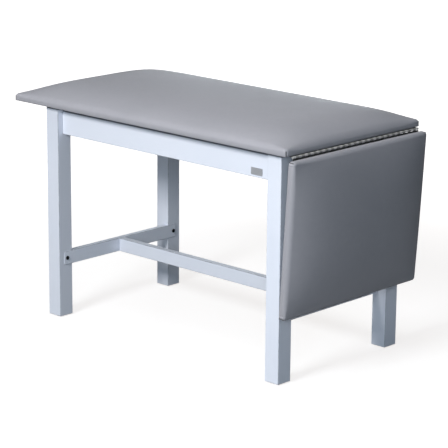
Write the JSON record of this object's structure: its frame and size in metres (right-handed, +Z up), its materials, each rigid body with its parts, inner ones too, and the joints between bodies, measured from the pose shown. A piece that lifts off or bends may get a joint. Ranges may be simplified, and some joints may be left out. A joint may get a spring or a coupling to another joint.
{
  "type": "drop-leaf treatment table",
  "caption": "Fixed-height padded treatment table on a braced leg frame, with a padded end leaf that swings up on a piano hinge and locks on folding stays.",
  "frame": {"origin": "on the floor, under the middle of the table's overall box in the rest position (leaf hanging)", "axes": "+X along the table towards the drop leaf, +Y across it towards the rear, +Z up"},
  "size_m": [1.2205, 0.61, 0.762],
  "materials": {
    "laminate": "satin",
    "block_hardwood": "matte",
    "panel_board": "matte",
    "vinyl": "satin",
    "hinge_steel": "satin",
    "zinc_steel": "satin",
    "black_bolt": "satin",
    "glide_nylon": "matte",
    "badge_plate": "satin"
  },
  "bodies": {
    "frame": {"apron_front": "laminate", "apron_rear": "laminate", "brace_bolt_front_left": "black_bolt", "brace_bolt_front_right": "black_bolt", "brace_bolt_rear_left": "black_bolt", "brace_bolt_rear_right": "black_bolt", "corner_block_front_left": "block_hardwood", "corner_block_front_right": "block_hardwood", "corner_block_rear_left": "block_hardwood", "corner_block_rear_right": "block_hardwood", "corner_bolt_front_left": "zinc_steel", "corner_bolt_front_right": "zinc_steel", "corner_bolt_rear_left": "zinc_steel", "corner_bolt_rear_right": "zinc_steel", "cross_brace_left": "laminate", "cross_brace_right": "laminate", "end_rail_left": "laminate", "end_rail_right": "laminate", "glide_front_left": "glide_nylon", "glide_front_right": "glide_nylon", "glide_rear_left": "glide_nylon", "glide_rear_right": "glide_nylon", "hinge_pin": "hinge_steel", "hinge_plate_top": "hinge_steel", "leg_front_left": "laminate", "leg_front_right": "laminate", "leg_rear_left": "laminate", "leg_rear_right": "laminate", "name_badge": "badge_plate", "stay_foot_rivet_front": "zinc_steel", "stay_foot_rivet_rear": "zinc_steel", "stay_frame_bracket_front": "zinc_steel", "stay_frame_bracket_rear": "zinc_steel", "stretcher": "laminate", "stretcher_screw_left_lower": "zinc_steel", "stretcher_screw_left_upper": "zinc_steel", "stretcher_screw_right_lower": "zinc_steel", "stretcher_screw_right_upper": "zinc_steel", "top_cushion": "vinyl", "top_panel": "panel_board", "top_screw_front_left": "zinc_steel", "top_screw_front_right": "zinc_steel", "top_screw_rear_left": "zinc_steel", "top_screw_rear_right": "zinc_steel"},
    "leaf": {"hinge_plate_leaf": "hinge_steel", "leaf_cushion": "vinyl", "leaf_panel": "panel_board", "stay_leaf_bracket_front": "zinc_steel", "stay_leaf_bracket_rear": "zinc_steel", "stay_leaf_rivet_front": "zinc_steel", "stay_leaf_rivet_rear": "zinc_steel"},
    "stay_lower_front": {"stay_lower_arm_front": "zinc_steel", "stay_knee_rivet_front": "zinc_steel"},
    "stay_upper_front": {"stay_upper_arm_front": "zinc_steel"},
    "stay_lower_rear": {"stay_lower_arm_rear": "zinc_steel", "stay_knee_rivet_rear": "zinc_steel"},
    "stay_upper_rear": {"stay_upper_arm_rear": "zinc_steel"}
  },
  "joints": [
    {"name": "leaf_hinge", "type": "hinge", "parent": "frame", "child": "leaf", "pos_m": [0.5647, 0, 0.697], "axis": [0, -1, 0], "range_deg": [0, 93.5]},
    {"name": "stay_front_foot_pivot", "type": "hinge", "parent": "frame", "child": "stay_lower_front", "pos_m": [0.5077, 0, 0.247], "axis": [0, -1, 0], "range_deg": [-45.9, 0]},
    {"name": "stay_front_leaf_pivot", "type": "hinge", "parent": "leaf", "child": "stay_upper_front", "pos_m": [0.53069, 0, 0.28831], "axis": [0, -1, 0], "range_deg": [0, 37.4]},
    {"name": "stay_rear_foot_pivot", "type": "hinge", "parent": "frame", "child": "stay_lower_rear", "pos_m": [0.5077, 0, 0.247], "axis": [0, -1, 0], "range_deg": [-45.9, 0]},
    {"name": "stay_rear_leaf_pivot", "type": "hinge", "parent": "leaf", "child": "stay_upper_rear", "pos_m": [0.53069, 0, 0.28831], "axis": [0, -1, 0], "range_deg": [0, 37.4]}
  ],
  "couplings": [
    {"joint": "stay_front_foot_pivot", "follows": "leaf_hinge", "ratio": -0.48531},
    {"joint": "stay_front_leaf_pivot", "follows": "leaf_hinge", "ratio": 0.3948},
    {"joint": "stay_rear_foot_pivot", "follows": "leaf_hinge", "ratio": -0.48531},
    {"joint": "stay_rear_leaf_pivot", "follows": "leaf_hinge", "ratio": 0.3948}
  ]
}
